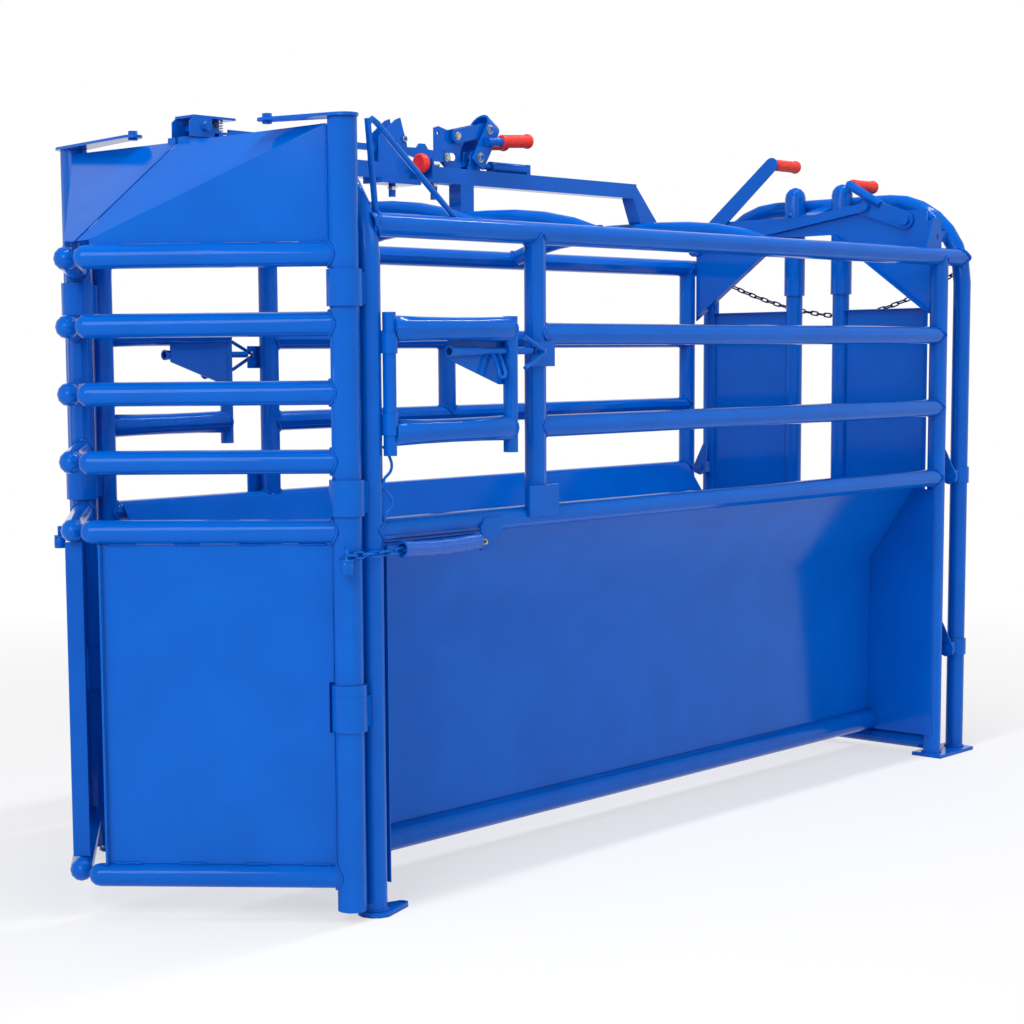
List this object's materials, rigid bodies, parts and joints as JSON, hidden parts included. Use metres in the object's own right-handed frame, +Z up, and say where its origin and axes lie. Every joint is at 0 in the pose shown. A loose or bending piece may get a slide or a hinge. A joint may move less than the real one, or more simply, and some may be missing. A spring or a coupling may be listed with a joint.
{
  "type": "roping chute",
  "caption": "Steel roping chute: bent arches, side rails and folded sheets, split front gate with overhead release, two side doors and a split sliding tail gate.",
  "frame": {"origin": "bottom centre of the whole chute's box", "axes": "+X to the rear, where the steer enters; +Z up; +Y to the far side, with the near side in the picture at -Y"},
  "size_m": [2.8085, 0.965, 1.7107],
  "materials": {
    "powder_coat": "glossy",
    "grip_vinyl": "satin",
    "zinc": "zinc plated",
    "hose": "ribbed",
    "chain_steel": "dark"
  },
  "bodies": {
    "frame": {"far_bottom_rail": "powder_coat", "far_lower_rail": "powder_coat", "far_middle_post": "powder_coat", "far_rear_post": "powder_coat", "far_sheet_rail": "powder_coat", "far_side_sheet": "powder_coat", "far_spring_chain": "chain_steel", "far_spring_sleeve": "hose", "far_top_rail": "powder_coat", "far_upper_rail": "powder_coat", "floor_tube": "powder_coat", "front_arch": "powder_coat", "front_hoop": "powder_coat", "latch_box": "powder_coat", "latch_spring": "zinc", "middle_hoop": "powder_coat", "near_bottom_rail": "powder_coat", "near_lower_rail": "powder_coat", "near_middle_post": "powder_coat", "near_rear_post": "powder_coat", "near_sheet_rail": "powder_coat", "near_side_sheet": "powder_coat", "near_spring_chain": "chain_steel", "near_spring_sleeve": "hose", "near_top_rail": "powder_coat", "near_upper_rail": "powder_coat", "rear_arch": "powder_coat", "rear_hoop": "powder_coat", "release_beam": "powder_coat", "safety_chain": "chain_steel", "tail_header": "powder_coat"},
    "near_gate": {"near_gate_frame": "powder_coat", "near_gate_sheet": "powder_coat", "near_gate_hood": "powder_coat", "near_gate_arm": "powder_coat"},
    "near_door": {"near_side_door": "powder_coat"},
    "near_door_bolt": {"near_door_bolt": "powder_coat"},
    "near_tail": {"near_tail_post": "powder_coat", "near_tail_panel": "powder_coat"},
    "near_tail_lever": {"near_tail_lever": "powder_coat", "near_tail_grip": "grip_vinyl"},
    "far_gate": {"far_gate_frame": "powder_coat", "far_gate_sheet": "powder_coat", "far_gate_hood": "powder_coat", "far_gate_arm": "powder_coat"},
    "far_door": {"far_side_door": "powder_coat"},
    "far_door_bolt": {"far_door_bolt": "powder_coat"},
    "far_tail": {"far_tail_post": "powder_coat", "far_tail_panel": "powder_coat"},
    "far_tail_lever": {"far_tail_lever": "powder_coat", "far_tail_grip": "grip_vinyl"},
    "tail_link": {"tail_link": "powder_coat"},
    "release_lever": {"release_lever": "powder_coat", "release_grip_near": "grip_vinyl", "release_grip_far": "grip_vinyl"},
    "release_link": {"release_link": "powder_coat"},
    "release_slide": {"toggle_plate": "powder_coat", "release_rod": "powder_coat"},
    "latch_pawl": {"latch_pawl": "zinc"},
    "release_knob": {"release_knob": "grip_vinyl"}
  },
  "joints": [
    {"name": "near_gate_hinge", "type": "hinge", "parent": "frame", "child": "near_gate", "pos_m": [-1.05248, -0.428, 0.8], "axis": [0, 0, 1], "range_deg": [0, 100], "deforming": ["near_spring_chain"]},
    {"name": "far_gate_hinge", "type": "hinge", "parent": "frame", "child": "far_gate", "pos_m": [-1.05248, 0.428, 0.8], "axis": [0, 0, 1], "range_deg": [-100, 0], "deforming": ["far_spring_chain"]},
    {"name": "near_door_hinge", "type": "hinge", "parent": "frame", "child": "near_door", "pos_m": [-0.95788, -0.457, 1.08], "axis": [0, 0, 1], "range_deg": [-105, 0]},
    {"name": "far_door_hinge", "type": "hinge", "parent": "frame", "child": "far_door", "pos_m": [-0.95788, 0.457, 1.08], "axis": [0, 0, 1], "range_deg": [0, 105]},
    {"name": "near_bolt_slide", "type": "slide", "parent": "near_door", "child": "near_door_bolt", "axis": [1, 0, 0], "range_m": [-0.03, 0.018]},
    {"name": "far_bolt_slide", "type": "slide", "parent": "far_door", "child": "far_door_bolt", "axis": [1, 0, 0], "range_m": [-0.03, 0.018]},
    {"name": "near_tail_lever_hinge", "type": "hinge", "parent": "frame", "child": "near_tail_lever", "pos_m": [1.25752, -0.3154, 1.504], "axis": [1, 0, 0], "range_deg": [0, 45]},
    {"name": "far_tail_lever_hinge", "type": "hinge", "parent": "frame", "child": "far_tail_lever", "pos_m": [1.25752, 0.327, 1.507], "axis": [1, 0, 0], "range_deg": [-69.5, 0]},
    {"name": "tail_link_hinge", "type": "hinge", "parent": "near_tail_lever", "child": "tail_link", "pos_m": [1.25052, -0.19, 1.547], "axis": [1, 0, 0], "range_deg": [-58.5, 0]},
    {"name": "near_tail_slide", "type": "slide", "parent": "frame", "child": "near_tail", "axis": [0, -1, 0], "range_m": [0, 0.262]},
    {"name": "far_tail_slide", "type": "slide", "parent": "frame", "child": "far_tail", "axis": [0, 1, 0], "range_m": [0, 0.262]},
    {"name": "release_lever_hinge", "type": "hinge", "parent": "frame", "child": "release_lever", "pos_m": [-0.20348, 0, 1.6047], "axis": [0, 1, 0], "range_deg": [0, 18]},
    {"name": "release_pull", "type": "slide", "parent": "frame", "child": "release_slide", "axis": [1, 0, 0], "range_m": [0, 0.018]},
    {"name": "release_link_hinge", "type": "hinge", "parent": "release_slide", "child": "release_link", "pos_m": [-0.26988, 0, 1.6515], "axis": [0, 1, 0], "range_deg": [0, 8.2]},
    {"name": "latch_pawl_hinge", "type": "hinge", "parent": "frame", "child": "latch_pawl", "pos_m": [-1.05748, 0, 1.614], "axis": [0, 1, 0], "range_deg": [-8, 0], "deforming": ["latch_spring"]},
    {"name": "release_knob_pull", "type": "slide", "parent": "frame", "child": "release_knob", "axis": [-1, 0, 0], "range_m": [0, 0.02], "stiffness_N_per_m": 250}
  ],
  "couplings": [
    {"joint": "far_tail_lever_hinge", "follows": "near_tail_lever_hinge", "ratio": -1.53},
    {"joint": "tail_link_hinge", "follows": "near_tail_lever_hinge", "ratio": -1.28},
    {"joint": "near_tail_slide", "follows": "near_tail_lever_hinge", "m_per_rad": 0.331},
    {"joint": "far_tail_slide", "follows": "near_tail_lever_hinge", "m_per_rad": 0.331},
    {"joint": "release_pull", "follows": "release_lever_hinge", "m_per_rad": 0.0554},
    {"joint": "release_link_hinge", "follows": "release_lever_hinge", "ratio": 0.436},
    {"joint": "latch_pawl_hinge", "follows": "release_lever_hinge", "ratio": -0.4167}
  ]
}
